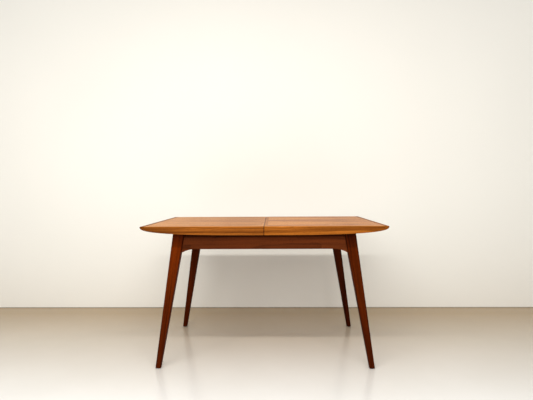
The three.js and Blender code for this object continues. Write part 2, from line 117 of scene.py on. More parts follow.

# The battens and fittings.
RUNNER_SCREWS = 5  # in each runner
RUNNER_LINE = 0.25  # distance from the middle that tells the outer runners from the inner ones
CLEAR_OF_TONGUE = 3 * MM  # how far a runner's screws stand off its middle, away from its tongue
STOP_BLOCK_SCREWS = (-0.02, 0.02)
STOP_STRIP_SCREWS = (-0.12, 0.0, 0.12)
PLATE_THICKNESS = 2.5 * MM  # of the plate on top of a barrel or keeper
PLATE_SCREW = 2.2 * MM  # radius of the screw heads in that plate
PLATE_SCREW_INSET = (4.5 * MM, 3.2 * MM)  # from the plate's ends and sides to its screws
LEG_BOLT_RADIUS = 4 * MM
GLIDE_ARRIS = 0.8 * MM

# The stage.
STAGE_REACH = 9.0  # how far the floor and the wall run out from the middle
WALL_HEIGHT = 3.2
SEAM = 6 * MM  # height of the dark strip at the foot of the wall, painted shade of the gap between wall and floor
FLOOR_SHADE_TURNS = (-0.75, 0.65)  # y at which the painted shade on the floor starts and ends, turning it darker and warmer towards the wall
LAMP_TINT = (1.0, 0.99, 0.955)
WINDOW_TINT = (1.0, 0.985, 0.955)
SKY_TINT = (1.0, 0.985, 0.96, 1.0)

# How the wood's pattern is turned so that its X runs along the grain.
ALONG_X = (0.0, 0.0, 0.0)
ALONG_Y = (0.0, 0.0, -math.pi / 2)

# The noises of the wood: how far each is drawn out along the grain, its scale, detail and roughness.
BEND = (0.16, 7.0, 3.0, 0.55)
FIBRE = (0.025, 380.0, 6.0, 0.68)
STREAK = (0.04, 60.0, 3.0, 0.6)
DRIFT = (0.3, 5.0, 2.0, 0.5)
PORE = (0.045, 1500.0, 1.0, 0.5)
RING_BEND = 6.0  # how many rings the bend pushes a ring aside
RING_WANDER = 3.5  # how many rings the spacing drifts by
RING_RISE = 2.2  # how steeply a ring darkens towards its edge
RING_LEAST = 0.35  # how dark the faintest ring is, against the darkest
SHADE_WEIGHTS = (0.26, 0.4, 0.34)  # shares of fibre, streak and drift in the shade
RING_MEAN = 0.78  # the lightness that the rings have on average
PORE_DARKNESS = 0.55
GRAIN_DEPTH = 0.25 * MM

# Tints that a colour is multiplied by.
STRIPE_TINT = (0.55, 0.49, 0.44)
SECOND_STRIPE_TINT = (0.5, 0.42, 0.36)
TIP_TINT = (0.68, 0.64, 0.6)
RIM_TINT = (0.42, 0.32, 0.25)
NOSING_TINT = (0.62, 0.54, 0.46)
GRIME_TINT = (0.2, 0.14, 0.12)
# painted shade and a painted shadow line on the aprons under the deep edge
APRON_SHADE_TINT = (0.5, 0.36, 0.3)
APRON_SHADOW_LINE_TINT = (0.22, 0.12, 0.08)
# painted shade on the legs: towards the foot, under the top, and along the rounded corners
FOOT_SHADE_TINT = (0.66, 0.6, 0.55)
HEAD_SHADE_TINT = (0.5, 0.4, 0.34)
CORNER_SHADE_TINT = (0.42, 0.3, 0.24)
CLOUD_TINT = (0.9, 0.89, 0.87)
# painted shade in the gap at the foot of the wall
SEAM_SHADE_TINT = (0.2, 0.17, 0.12)


def linear(red, green, blue):
    """Scene-linear colour from the 0 to 255 values that a colour picker shows."""
    channels = (value / 255 for value in (red, green, blue))
    return tuple(c / 12.92 if c <= 0.04045 else ((c + 0.055) / 1.055) ** 2.4 for c in channels)


def length(name, description, default):
    """A property for a length in metres."""
    return bpy.props.FloatProperty(
        name=name, description=description, default=default, min=0.0, precision=5, unit="LENGTH"
    )


def share(name, description, default):
    """A property for a share from none to all."""
    return bpy.props.FloatProperty(
        name=name, description=description, default=default, min=0.0, max=1.0, subtype="FACTOR"
    )


def colour(name, description, default):
    """A property for a colour."""
    return bpy.props.FloatVectorProperty(
        name=name, description=description, default=linear(*default), min=0.0, max=1.0, subtype="COLOR"
    )


def power(name, description, default):
    """A property for a lamp's power in watts."""
    return bpy.props.FloatProperty(
        name=name, description=description, default=default, min=0.0, unit="POWER"
    )


# ---- Settings ----


class TableSizes(bpy.types.PropertyGroup):
    """Small sizes that a maker settles at the bench."""

    top_arris: length("Top arris", "Rounding of the outer arrises of the top", 3.5 * MM)
    joint_arris: length("Joint arris", "Rounding where two boards of the top meet", 0.35 * MM)
    rail_arris: length("Rail arris", "Rounding of the aprons and end rails", 1.6 * MM)
    leg_arris: length("Leg arris", "Rounding of a leg's foot and head", 2.2 * MM)
    batten_arris: length("Batten arris", "Rounding of the battens under the top", 1.0 * MM)
    metal_arris: length("Metal arris", "Rounding of the steel fittings", 0.4 * MM)
    veneer_leaf: length("Veneer leaf", "Width of the veneer leaves on the top", 188.0 * MM)
    screw_head: length("Screw head", "Radius of a wood screw's head", 3.6 * MM)
    thread_pitch: length("Thread pitch", "Distance between threads on the leg bolts", 1.25 * MM)


class TableFinishes(bpy.types.PropertyGroup):
    """Colours and sheen of the timbers and fittings."""

    top_light: colour("Top light", "Lightest wood of the top", (208, 143, 78))
    top_dark: colour("Top dark", "Darkest figure of the top", (132, 68, 22))
    left_edge_light: colour("Left edge light", "Lightest wood of the left half's edges", (160, 92, 31))
    left_edge_dark: colour("Left edge dark", "Darkest figure of the left half's edges", (94, 48, 12))
    right_edge_light: colour("Right edge light", "Lightest wood of the right half's edges", (188, 110, 38))
    right_edge_dark: colour("Right edge dark", "Darkest figure of the right half's edges", (112, 60, 14))
    joint_light: colour("Joint edge light", "Lightest wood of the strips at the joint", (228, 164, 100))
    apron_light: colour("Apron light", "Lightest wood of the aprons and end rails", (112, 53, 22))
    apron_dark: colour("Apron dark", "Darkest figure of the aprons and end rails", (54, 22, 7))
    leg_light: colour("Leg light", "Lightest wood of the legs", (110, 40, 2))
    leg_dark: colour("Leg dark", "Darkest figure of the legs", (52, 14, 0))
    beech_light: colour("Beech light", "Lightest wood of the battens", (214, 178, 134))
    beech_dark: colour("Beech dark", "Darkest figure of the battens", (170, 128, 86))
    steel: colour("Steel", "Zinc-plated steel", (176, 174, 168))
    nylon: colour("Nylon", "Foot glides", (46, 34, 28))
    lacquer: share("Lacquer", "Strength of the gloss on the top", 0.09)
    oil: share("Oil", "Strength of the gloss on the edges, frame and legs", 0.02)


class StageSettings(bpy.types.PropertyGroup):
    """The room, its light and the camera."""

    floor_near: colour("Near floor", "Pale sealed floor in front of the table", (231, 230, 228))
    # painted shade: the floor's darker, warmer colour where it nears the wall
    floor_shaded: colour("Far floor", "The same floor where it nears the wall", (165, 141, 105))
    wall: colour("Wall", "Warm white wall", (248, 246, 239))
    wall_place: length("Wall place", "How far behind the middle of the table the wall stands", 0.81)
    camera_place: bpy.props.FloatVectorProperty(
        name="Camera place",
        description="Where the camera stands",
        default=(0.0484, -2.5788, 0.9525),
        size=3,
        subtype="TRANSLATION",
        unit="LENGTH",
    )
    camera_turn: bpy.props.FloatVectorProperty(
        name="Camera turn",
        description="Pitch down, roll and yaw of the camera",
        default=(-0.0233, -0.0050, 0.0156),
        size=3,
        subtype="EULER",
        unit="ROTATION",
    )
    lens: bpy.props.FloatProperty(
        name="Lens", description="Focal length in millimetres", default=28.39, min=10.0, max=200.0
    )
    key_power: power("Key power", "Power of the long softbox overhead", 51.0)
    fill_power: power("Fill power", "Power of the softbox behind the camera", 66.0)
    sky: bpy.props.FloatProperty(
        name="Sky", description="Strength of the light all round", default=0.64, min=0.0
    )


# ---- Making pieces ----


def board(node, suffix, radius, material, weight=None, segments=3):
    """A finished copy of a CAD board with eased arrises, riding where the board rides.

    weight gives an arris's share of the radius from the edge, and leaves every arris equal if it is None.
    """
    bm = bmesh.new()
    bm.from_mesh(FRAME["nodes"][node].data)
    bmesh.ops.remove_doubles(bm, verts=bm.verts, dist=0.01 * MM)
    bmesh.ops.dissolve_limit(bm, angle_limit=FLAT, verts=bm.verts, edges=bm.edges)
    weights = bm.edges.layers.float.new("bevel_weight_edge")
    for edge in bm.edges:
        if edge.calc_face_angle(0.0) > SHARP:
            edge[weights] = weight(edge) if weight else 1.0
    piece = finish_piece(bm, f"{node}_{suffix}", body_of(node), material)
    ease = piece.modifiers.new("Eased arrises", "BEVEL")
    ease.limit_method = "WEIGHT"
    ease.width = radius
    ease.segments = segments
    ease.use_clamp_overlap = True
    piece.modifiers.new("Even shading", "WEIGHTED_NORMAL")
    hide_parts(node)
    return piece


def body_of(node):
    """The name of the body that a CAD node belongs to."""
    bodies = FRAME["record"]["behaviour"]["bodies"]
    return next(body for body, members in bodies.items() if node in members)


def finish_piece(bm, name, body, material):
    """Turns a bmesh into a smooth-shaded piece on a body."""
    for face in bm.faces:
        face.smooth = True
    mesh = bpy.data.meshes.new(name)
    bm.to_mesh(mesh)
    bm.free()
    mesh.materials.append(material)
    piece = bpy.data.objects.new(name, mesh)
    bpy.context.scene.collection.objects.link(piece)
    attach(piece, body)
    return piece


def facing(axis):
    """The turn that takes +Z to the given axis."""
    return Vector((0, 0, 1)).rotation_difference(Vector(axis)).to_matrix().to_4x4()


def screw_head(radius, height=0.6 * MM):
    """The mesh of a screw head that faces +Z and stands a little proud, with a slot across it."""
    crown, half_slot, slot_depth = radius * 0.72, radius * 0.13, height * 0.7
    bm = bmesh.new()
    bmesh.ops.create_cone(
        bm, cap_ends=True, cap_tris=False, segments=20, radius1=radius, radius2=crown, depth=height
    )
    bmesh.ops.translate(bm, verts=bm.verts, vec=(0, 0, height / 2))
    for x in (half_slot, -half_slot):
        top = [f for f in bm.faces if f.normal.z > 0.99]
        around = top + list({e for f in top for e in f.edges}) + list({v for f in top for v in f.verts})
        bmesh.ops.bisect_plane(bm, geom=around, plane_co=(x, 0, 0), plane_no=(1, 0, 0))
    top = [f for f in bm.faces if f.normal.z > 0.99]
    middle = min(top, key=lambda f: abs(f.calc_center_median().x))
    floor = bmesh.ops.extrude_face_region(bm, geom=[middle])["geom"]
    if middle.is_valid:
        bmesh.ops.delete(bm, geom=[middle], context="FACES_ONLY")
    sunk = [g for g in floor if isinstance(g, bmesh.types.BMVert)]
    bmesh.ops.translate(bm, verts=sunk, vec=(0, 0, -slot_depth))
    bmesh.ops.recalc_face_normals(bm, faces=bm.faces)
    mesh = bpy.data.meshes.new("screw head")
    bm.to_mesh(mesh)
    bm.free()
    return mesh


def screws(name, body, spots, radius, material):
    """One piece that holds the heads of several screws. Each spot is a place and which way its head faces."""
    head = screw_head(radius)
    bm = bmesh.new()
    for place, axis in spots:
        before = len(bm.verts)
        bm.from_mesh(head)
        bm.verts.ensure_lookup_table()
        bmesh.ops.transform(bm, matrix=Matrix.Translation(place) @ facing(axis), verts=bm.verts[before:])
    bpy.data.meshes.remove(head)
    return finish_piece(bm, name, body, material)


# ---- Materials ----


def add_node(tree, kind, values=None, links=None, **settings):
    """Adds a shader node with its settings, its socket values and the sockets that feed it."""
    node = tree.nodes.new(kind)
    for key, value in settings.items():
        setattr(node, key, value)
    for socket, value in (values or {}).items():
        node.inputs[socket].default_value = value
    for socket, source in (links or {}).items():
        tree.links.new(source, node.inputs[socket])
    return node


def calculate(tree, operation, first, second=0.0):
    """A Math node on sockets or numbers. Operations on one value leave the second alone."""
    node = tree.nodes.new("ShaderNodeMath")
    node.operation = operation
    for socket, value in zip(node.inputs, (first, second)):
        if isinstance(value, (int, float)):
            socket.default_value = value
        else:
            tree.links.new(value, socket)
    return node.outputs[0]


def object_coordinates(tree):
    """The place of a point in its object, which is its place in the whole table at rest."""
    return tree.nodes.new("ShaderNodeTexCoord").outputs["Object"]


def axes_of(tree, vector):
    """The X, Y and Z of a vector."""
    return add_node(tree, "ShaderNodeSeparateXYZ", links={"Vector": vector}).outputs


def turned_by(tree, vector, **settings):
    """A vector after a Mapping node's Rotation, Location or Scale."""
    return add_node(tree, "ShaderNodeMapping", settings, {"Vector": vector}).outputs["Vector"]


def stretched(tree, vector, along):
    """The pattern's coordinates pressed together along the grain, so that what they draw is drawn out."""
    return turned_by(tree, vector, Scale=(along, 1.0, 1.0))


def noise(tree, vector, scale, detail=2.0, roughness=0.5):
    """A noise value around 0.5."""
    values = {"Scale": scale, "Detail": detail, "Roughness": roughness}
    return add_node(tree, "ShaderNodeTexNoise", values, {"Vector": vector}).outputs["Fac"]


def grained(tree, vector, layer):
    """One of the noises of the wood."""
    along, *settings = layer
    return noise(tree, stretched(tree, vector, along), *settings)


def spread(tree, value, low, high, to_low=0.0, to_high=1.0):
    """Stretches a range of a value over another range."""
    values = {"From Min": low, "From Max": high, "To Min": to_low, "To Max": to_high}
    return add_node(tree, "ShaderNodeMapRange", values, {"Value": value}).outputs["Result"]


def mix_colour(tree, blend, factor, first, second):
    """Mixes two colours, each a socket or a colour."""
    node = add_node(tree, "ShaderNodeMix", data_type="RGBA", blend_type=blend)
    colour_a, colour_b = node.inputs[6], node.inputs[7]
    for socket, value in ((node.inputs["Factor"], factor), (colour_a, first), (colour_b, second)):
        if isinstance(value, bpy.types.NodeSocket):
            tree.links.new(value, socket)
        elif isinstance(value, (int, float)):
            socket.default_value = value
        else:
            socket.default_value = (*value, 1.0)
    return node.outputs[2]


def darkened(tree, base, amount, tint):
    """A colour multiplied by a tint, in part or in full."""
    return mix_colour(tree, "MULTIPLY", amount, base, tint)


def scaled(tone, factor):
    """A colour with each channel multiplied by a number."""
    return tuple(channel * factor for channel in tone)


def bumped(tree, shader, relief, strength, distance):
    """Gives a shader a relief."""
    bump = add_node(tree, "ShaderNodeBump", {"Strength": strength, "Distance": distance}, {"Height": relief})
    tree.links.new(bump.outputs["Normal"], shader.inputs["Normal"])


def new_material(name):
    """An empty node material with its shader."""
    material = bpy.data.materials.new(name)
    material.use_nodes = True
    tree = material.node_tree
    shader = tree.nodes["Principled BSDF"]
    return material, tree, shader


def growth_rings(tree, radius, spacing):
    """Darkness of the rings at a radius: each ring darkens towards its edge, and no two are alike."""
    count = calculate(tree, "DIVIDE", radius, spacing)
    wander = add_node(
        tree, "ShaderNodeTexNoise", {"Scale": 0.4, "Detail": 1.0}, {"W": count}, noise_dimensions="1D"
    ).outputs["Fac"]
    phase = calculate(tree, "ADD", count, calculate(tree, "MULTIPLY", wander, RING_WANDER))
    strength = add_node(
        tree, "ShaderNodeTexWhiteNoise", links={"W": calculate(tree, "FLOOR", phase)}, noise_dimensions="1D"
    ).outputs["Value"]
    rise = calculate(tree, "POWER", calculate(tree, "FRACT", phase), RING_RISE)
    return calculate(tree, "MULTIPLY", rise, spread(tree, strength, 0.0, 1.0, RING_LEAST, 1.0))


def book_matched(tree, vector, width):
    """Mirrors the pattern at each edge of veneer leaves of one width, as leaves opened like a book."""
    axes = axes_of(tree, vector)
    mirrored = calculate(tree, "PINGPONG", axes["Y"], width)
    return add_node(
        tree, "ShaderNodeCombineXYZ", links={"X": axes["X"], "Y": mirrored, "Z": axes["Z"]}
    ).outputs["Vector"]


def wood(name, dark, light, grain=ALONG_X, tilt=(0.0, 0.02, 0.004), pith=(0.0, 0.05, -0.14), spacing=9 * MM,
         figure=0.5, contrast=1.0, sheen=0.42, gloss=0.25, leaf=None, finish=None):
    """Solid timber: growth rings about a pith line, long fibres, short dark pores and a slow drift of tone.

    The pattern is turned so that the grain runs along its X. tilt leans the pith a little, which opens the
    rings into arches where they run out of a face, and pith moves it away from the board. leaf is the width
    of book-matched veneer leaves, and finish is a function that works on the colour before it is used.
    """
    material, tree, shader = new_material(name)
    coordinates = object_coordinates(tree)
    matched = book_matched(tree, coordinates, leaf) if leaf else coordinates
    placed = turned_by(tree, turned_by(tree, matched, Rotation=grain), Rotation=tilt, Location=pith)

    across = turned_by(tree, placed, Scale=(0.0, 1.0, 1.0))
    radius = add_node(tree, "ShaderNodeVectorMath", links={0: across}, operation="LENGTH").outputs["Value"]
    push = calculate(tree, "MULTIPLY", grained(tree, placed, BEND), spacing * RING_BEND)
    rings = growth_rings(tree, calculate(tree, "ADD", radius, push), spacing)
    fibre, streak, drift = (grained(tree, placed, layer) for layer in (FIBRE, STREAK, DRIFT))
    pores = spread(tree, grained(tree, placed, PORE), 0.60, 0.70)

    value = calculate(tree, "MULTIPLY", calculate(tree, "SUBTRACT", 1.0, rings), figure)
    for layer, weight in zip((fibre, streak, drift), SHADE_WEIGHTS):
        part = calculate(tree, "MULTIPLY", spread(tree, layer, 0.3, 0.7), weight)
        value = calculate(tree, "ADD", value, part)
    middle = figure * RING_MEAN + 0.5
    shade = spread(tree, value, middle - 0.5 / contrast, middle + 0.5 / contrast)
    base = mix_colour(tree, "MIX", shade, dark, light)
    base = darkened(tree, base, calculate(tree, "MULTIPLY", pores, PORE_DARKNESS), scaled(dark, 0.5))
    if finish:
        base = finish(tree, coordinates, base)
    tree.links.new(base, shader.inputs["Base Color"])

    rough = spread(tree, fibre, 0.3, 0.7, sheen + 0.06, sheen - 0.04)
    rougher = calculate(tree, "ADD", rough, calculate(tree, "MULTIPLY", pores, 0.2))
    tree.links.new(rougher, shader.inputs["Roughness"])
    ridges, dips = calculate(tree, "MULTIPLY", fibre, 0.35), calculate(tree, "MULTIPLY", pores, 0.5)
    relief = calculate(tree, "SUBTRACT", ridges, dips)
    bumped(tree, shader, relief, 0.35, GRAIN_DEPTH)
    shader.inputs["Specular IOR Level"].default_value = gloss
    return material


def bleached(tree, height, base, top_tone, most):
    """Turns a board towards the top's tone on its upper face, as light does over the years."""
    low, high = (CAD_BOX[1].z - depth for depth in BLEACH_TURNS)
    return mix_colour(tree, "MIX", spread(tree, height, low, high, 0.0, most), base, top_tone)


def edge_finish(top_tone, dark_stripe):
    """Colour of a deep edge: dark stripes along it, a bleached upper face, and grime in the joint.

    dark_stripe is the height of the broad stripe at the joint, and how much it rises outwards over a metre.
    """
    stripe_height, rise_a_metre = dark_stripe

    def finish(tree, coordinates, base):
        axes = axes_of(tree, coordinates)
        outwards = calculate(tree, "ABSOLUTE", axes["X"])
        rise = calculate(tree, "MULTIPLY", outwards, rise_a_metre)
        wavering = noise(tree, stretched(tree, coordinates, 0.5), 5.0)
        sway = spread(tree, wavering, 0.3, 0.7, -STRIPE_SWAY, STRIPE_SWAY)
        over_stripe = calculate(tree, "SUBTRACT", calculate(tree, "SUBTRACT", axes["Z"], stripe_height), rise)
        level = calculate(tree, "ADD", over_stripe, sway)
        wave = calculate(tree, "COSINE", calculate(tree, "MULTIPLY", level, 2 * math.pi / STRIPE_SPACING))
        striped = darkened(tree, base, spread(tree, wave, 0.0, 1.0, 0.0, 0.9), STRIPE_TINT)
        from_second = calculate(tree, "ABSOLUTE", calculate(tree, "SUBTRACT", level, SECOND_STRIPE))
        second = spread(tree, from_second, *SECOND_STRIPE_FADE, 0.5, 0.0)
        striped = darkened(tree, striped, second, SECOND_STRIPE_TINT)
        striped = darkened(tree, striped, spread(tree, outwards, *TIP_TURNS, 0.0, 0.7), TIP_TINT)
        return joint_grime(tree, coordinates, bleached(tree, axes["Z"], striped, top_tone, 0.6))

    return finish


def nosing_finish(top_tone):
    """Colour of an end nosing: darker than the panel, and darkest at its rim."""
    end = CAD_BOX[1].x

    def finish(tree, coordinates, base):
        axes = axes_of(tree, coordinates)
        pale = bleached(tree, axes["Z"], base, top_tone, 0.15)
        inner, outer = (end - distance for distance in NOSING_RIM)
        rim = spread(tree, calculate(tree, "ABSOLUTE", axes["X"]), inner, outer, 0.0, 0.8)
        return darkened(tree, darkened(tree, pale, rim, RIM_TINT), 0.8, NOSING_TINT)

    return finish


def joint_grime(tree, coordinates, base):
    """Darkens a board of the top within a millimetre or two of the joint in the middle."""
    from_joint = calculate(tree, "ABSOLUTE", axes_of(tree, coordinates)["X"])
    return darkened(tree, base, spread(tree, from_joint, *JOINT_GRIME, 0.9, 0.0), GRIME_TINT)


def shaded_apron(tree, coordinates, base):
    """Colour of an apron with painted shade: darker where it runs up behind the deep edge, with a painted
    shadow line just below that edge.
    """
    height = axes_of(tree, coordinates)["Z"]
    shade = spread(tree, height, UNDER_TOP - APRON_SHADE, UNDER_TOP, 0.0, 0.5)
    low, high = (UNDER_TOP - depth for depth in APRON_SHADOW_LINE)
    # painted shadow line just under the deep edge
    shadow_line = spread(tree, height, low, high, 0.0, 0.75)
    return darkened(tree, darkened(tree, base, shade, APRON_SHADE_TINT), shadow_line, APRON_SHADOW_LINE_TINT)


def shaded_leg(tree, coordinates, base):
    """Colour of a leg with painted shade: darker towards the foot and under the top, and dark along its
    rounded corners.
    """
    height = axes_of(tree, coordinates)["Z"]
    # painted shade towards the foot, and under the top
    shaded_colour = darkened(tree, base, spread(tree, height, *FOOT_SHADE_TURNS, 0.8, 0.0), FOOT_SHADE_TINT)
    shade = spread(tree, height, UNDER_TOP - HEAD_SHADE, UNDER_TOP, 0.0, 0.7)
    shaded_colour = darkened(tree, shaded_colour, shade, HEAD_SHADE_TINT)
    # painted shade along the leg's rounded corners
    normal = axes_of(tree, tree.nodes.new("ShaderNodeTexCoord").outputs["Normal"])
    corner_shade = calculate(tree, "ABSOLUTE", calculate(tree, "MULTIPLY", normal["X"], normal["Y"]))
    return darkened(tree, shaded_colour, spread(tree, corner_shade, 0.1, 0.4, 0.0, 0.85), CORNER_SHADE_TINT)


def steel(name, base, roughness=0.34):
    """Zinc-plated steel with faint clouding and fine scuffs."""
    material, tree, shader = new_material(name)
    coordinates = object_coordinates(tree)
    clouds = noise(tree, coordinates, 140.0, 4.0, 0.6)
    scuffs = noise(tree, coordinates, 900.0, 2.0, 0.7)
    tone = mix_colour(tree, "MIX", spread(tree, clouds, 0.35, 0.65), scaled(base, 0.72), base)
    rough = spread(tree, clouds, 0.3, 0.7, roughness - 0.08, roughness + 0.12)
    tree.links.new(tone, shader.inputs["Base Color"])
    tree.links.new(rough, shader.inputs["Roughness"])
    bumped(tree, shader, scuffs, 0.2, 0.05 * MM)
    shader.inputs["Metallic"].default_value = 1.0
    return material


def moulded(name, base, roughness=0.55):
    """Moulded plastic with a faint texture, paler where it is scuffed."""
    material, tree, shader = new_material(name)
    coordinates = object_coordinates(tree)
    scuffs = noise(tree, coordinates, 260.0, 4.0, 0.65)
    scuffed = tuple(min(1.0, channel * 1.9 + 0.02) for channel in base)
    tone = mix_colour(tree, "MIX", spread(tree, scuffs, 0.4, 0.7), base, scuffed)
    tree.links.new(tone, shader.inputs["Base Color"])
    tree.links.new(spread(tree, scuffs, 0.3, 0.7, roughness, roughness + 0.15), shader.inputs["Roughness"])
    bumped(tree, shader, scuffs, 0.25, 0.1 * MM)
    return material


def material_once(name, make, *values, **settings):
    """The material of that name, made the first time that it is asked for."""
    return bpy.data.materials.get(name) or make(name, *values, **settings)


def beech(context, way, grain):
    """The pale timber of the battens, with its grain running one way."""
    finishes = context.scene.table_finishes
    return material_once(
        f"beech {way}", wood, finishes.beech_dark, finishes.beech_light, grain=grain, spacing=5.2 * MM,
        figure=0.3, contrast=0.8, sheen=0.62
    )


def bare_steel(context):
    """The steel of every fitting."""
    return material_once("zinc plated steel", steel, context.scene.table_finishes.steel)


# ---- Operators for the pieces ----


def edge_tones(finishes, side):
    """The dark and light tones of one half's deep edges."""
    if side == "left":
        return finishes.left_edge_dark, finishes.left_edge_light
    return finishes.right_edge_dark, finishes.right_edge_light


def rim_board(node, sizes, material):
    """Finishes a board at the top's rim: fully rounded along its outer face, and hardly at its neighbours."""
    outer_y = CAD_BOX[1].y
    at_neighbours = sizes.joint_arris / sizes.top_arris

    def rounding(edge):
        on_face = all(abs(abs(v.co.y) - outer_y) < 0.1 * MM for v in edge.verts)
        runs_along = abs(edge.verts[0].co.x - edge.verts[1].co.x) > 0.01 * MM
        return 1.0 if on_face and runs_along else at_neighbours

    board(node, "wood", sizes.top_arris, material, weight=rounding, segments=4)


def batten(node, radius, material, segments=2):
    """Finishes a board of beech."""
    board(node, "wood", radius, material, segments=segments)


class TABLE_OT_top_panels(bpy.types.Operator):
    """Finish the two large panels of the top"""

    bl_idname = "table.top_panels"
    bl_label = "Top panels"

    def execute(self, context):
        sizes, finishes = context.scene.table_sizes, context.scene.table_finishes
        for side, (pith, tone) in PANELS.items():
            material = wood(
                f"teak {side} panel", scaled(finishes.top_dark, tone), scaled(finishes.top_light, tone),
                tilt=(0.0, 0.03, 0.01), pith=pith, leaf=sizes.veneer_leaf, spacing=12.1 * MM, figure=0.6,
                contrast=1.35, sheen=0.4, gloss=finishes.lacquer
            )
            board(f"{side}_top_panel", "wood", sizes.joint_arris, material, segments=2)
        return {"FINISHED"}


class TABLE_OT_edge_boards(bpy.types.Operator):
    """Finish the deep front and rear edge boards"""

    bl_idname = "table.edge_boards"
    bl_label = "Edge boards"

    def execute(self, context):
        sizes, finishes = context.scene.table_sizes, context.scene.table_finishes
        for side in SIDES:
            lean, pith_y, figure = EDGE_CUTS[side]
            for end in ENDS:
                material = wood(
                    f"teak {side} {end} edge", *edge_tones(finishes, side), tilt=(0.0, lean, 0.01),
                    pith=(0.1, pith_y, EDGE_PITH[end]), spacing=9.2 * MM, figure=figure, contrast=1.1,
                    sheen=0.4, gloss=finishes.oil, finish=edge_finish(finishes.top_light, EDGE_STRIPE[side])
                )
                rim_board(f"{side}_{end}_edge", sizes, material)
        return {"FINISHED"}


class TABLE_OT_end_nosings(bpy.types.Operator):
    """Finish the rounded nosings across the ends of the top"""

    bl_idname = "table.end_nosings"
    bl_label = "End nosings"

    def execute(self, context):
        sizes, finishes = context.scene.table_sizes, context.scene.table_finishes
        for side, sign in SIDES.items():
            material = wood(
                f"teak {side} nosing", *edge_tones(finishes, side), grain=ALONG_Y, tilt=(0.0, 0.01, 0.0),
                pith=(0.0, sign * 0.6, -0.7), spacing=7.8 * MM, figure=0.4, sheen=0.4, gloss=finishes.oil,
                finish=nosing_finish(finishes.top_light)
            )
            rim_board(f"{side}_end_nosing", sizes, material)
        return {"FINISHED"}


class TABLE_OT_joint_edges(bpy.types.Operator):
    """Finish the strips along the joint, and the pegs that line the halves up"""

    bl_idname = "table.joint_edges"
    bl_label = "Joint edges"

    def execute(self, context):
        sizes, finishes = context.scene.table_sizes, context.scene.table_finishes
        for side in SIDES:
            light = finishes.joint_light if side == "left" else finishes.top_light
            material = wood(
                f"teak {side} joint edge", finishes.top_dark, light, grain=ALONG_Y, tilt=(0.0, 0.01, 0.0),
                pith=(0.0, 0.3, -0.9), spacing=6.3 * MM, figure=0.35, contrast=0.8, sheen=0.42,
                gloss=finishes.lacquer, finish=joint_grime
            )
            board(f"{side}_joint_edge", "wood", sizes.joint_arris, material, segments=2)
        for end in ENDS:
            batten(f"{end}_joint_peg", PEG_ARRIS, beech(context, "along x", ALONG_X), segments=1)
        return {"FINISHED"}


class TABLE_OT_legs(bpy.types.Operator):
    """Finish the four tapered legs"""

    bl_idname = "table.legs"
    bl_label = "Legs"

    def execute(self, context):
        sizes, finishes = context.scene.table_sizes, context.scene.table_finishes
        for end, depth in ENDS.items():
            for side, sign in SIDES.items():
                low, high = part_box(f"{end}_{side}_leg")
                splay = math.atan2((high.x - low.x) * LEG_LEAN, high.z - low.z)
                tone = LEG_TONES_AND_SHADE[f"{end}_{side}"]
                material = wood(
                    f"teak {end} {side} leg", scaled(finishes.leg_dark, tone),
                    scaled(finishes.leg_light, tone), grain=(0.0, math.pi / 2 + sign * splay, 0.0),
                    tilt=(0.0, 0.02, 0.01 * depth), pith=(0.1 * sign, 0.5 * depth, 0.3), spacing=6.8 * MM,
                    figure=0.45, contrast=1.1, sheen=0.36, gloss=finishes.oil, finish=shaded_leg
                )
                board(f"{end}_{side}_leg", "wood", sizes.leg_arris, material)
        return {"FINISHED"}


class TABLE_OT_aprons(bpy.types.Operator):
    """Finish the front and rear aprons and the end rails"""

    bl_idname = "table.aprons"
    bl_label = "Aprons and end rails"

    def execute(self, context):
        sizes, finishes = context.scene.table_sizes, context.scene.table_finishes
        for end, sign in ENDS.items():
            material = wood(
                f"teak {end} apron", finishes.apron_dark, finishes.apron_light, tilt=(0.0, 0.006, 0.0),
                pith=(0.0, 0.4 * sign, -0.5), spacing=8.7 * MM, figure=0.5, contrast=1.1, sheen=0.42,
                gloss=finishes.oil, finish=shaded_apron
            )
            board(f"{end}_apron", "wood", sizes.rail_arris, material)
        for side, sign in SIDES.items():
            material = wood(
                f"teak {side} rail", finishes.apron_dark, finishes.apron_light, grain=ALONG_Y,
                tilt=(0.0, 0.006, 0.0), pith=(0.0, 0.4 * sign, -0.5), spacing=8.7 * MM, figure=0.5,
                contrast=0.9, sheen=0.42, gloss=finishes.oil
            )
            board(f"{side}_end_rail", "wood", sizes.rail_arris, material)
        return {"FINISHED"}


class TABLE_OT_runners(bpy.types.Operator):
    """Finish the runners, their guides and the stop blocks"""

    bl_idname = "table.runners"
    bl_label = "Runners and guides"

    def execute(self, context):
        sizes = context.scene.table_sizes
        along = beech(context, "along x", ALONG_X)
        for side, sign in SIDES.items():
            spots = []
            for end in ENDS:
                node = f"{side}_{end}_runner"
                batten(node, sizes.batten_arris, along)
                low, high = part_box(node)
                y = (low.y + high.y) / 2 + math.copysign(CLEAR_OF_TONGUE, abs(low.y) - RUNNER_LINE)
                start, finish = (low.x, 0.0) if sign < 0 else (0.0, high.x)
                for step in range(RUNNER_SCREWS):
                    x = start + (finish - start) * (0.08 + step / RUNNER_SCREWS)
                    spots.append(((x, y, low.z), DOWN))
            batten(f"{side}_stop_block", sizes.batten_arris, along)
            low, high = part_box(f"{side}_stop_block")
            spots += [(((low.x + high.x) / 2, y, low.z), DOWN) for y in STOP_BLOCK_SCREWS]
            screws(f"{side}_runner_screws", f"top_{side}", spots, sizes.screw_head, bare_steel(context))
        for end in ENDS:
            batten(f"{end}_guide", sizes.batten_arris * 0.6, along)
        return {"FINISHED"}


